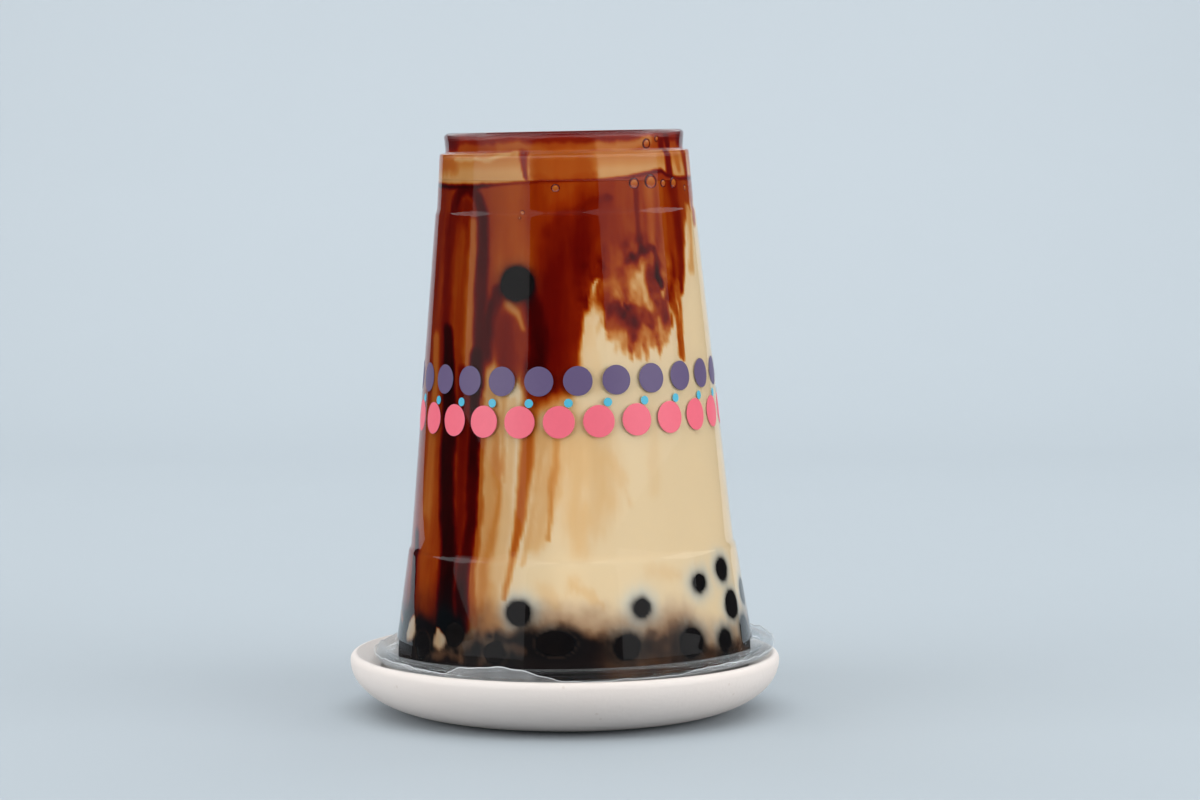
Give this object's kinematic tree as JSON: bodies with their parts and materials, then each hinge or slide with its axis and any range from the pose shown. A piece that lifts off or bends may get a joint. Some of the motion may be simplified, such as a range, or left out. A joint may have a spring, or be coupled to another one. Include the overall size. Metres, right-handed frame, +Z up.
{
  "type": "bubble tea in a sealed takeaway cup, upside down on a dish",
  "caption": "Brown sugar milk bubble tea in a clear film-sealed plastic cup, stood upside down on its rim in a round white ceramic dish.",
  "frame": {"origin": "on the floor, under the middle of the dish", "axes": "+Z up; the side with the fewest pearls hidden, shown in the picture, faces -Y; +X to the viewer's right"},
  "size_m": [0.1026, 0.1026, 0.1385],
  "materials": {
    "dish_ceramic": "matt warm white stoneware",
    "cup_plastic": "clear thin-walled plastic",
    "film": "clear heat-sealed film",
    "drink": "milk marbled with dark brown sugar syrup",
    "tapioca": "glossy near-black tapioca"
  },
  "bodies": {
    "root": {"dish": "dish_ceramic", "cup": "cup_plastic", "seal_film": "film", "drink": "drink", "pearl_bed": "tapioca", "pearl_01": "tapioca", "pearl_02": "tapioca", "pearl_03": "tapioca", "pearl_04": "tapioca", "pearl_05": "tapioca", "pearl_06": "tapioca", "pearl_07": "tapioca", "pearl_08": "tapioca", "pearl_09": "tapioca", "pearl_10": "tapioca", "pearl_11": "tapioca", "pearl_12": "tapioca", "pearl_13": "tapioca", "pearl_14": "tapioca"}
  },
  "joints": []
}
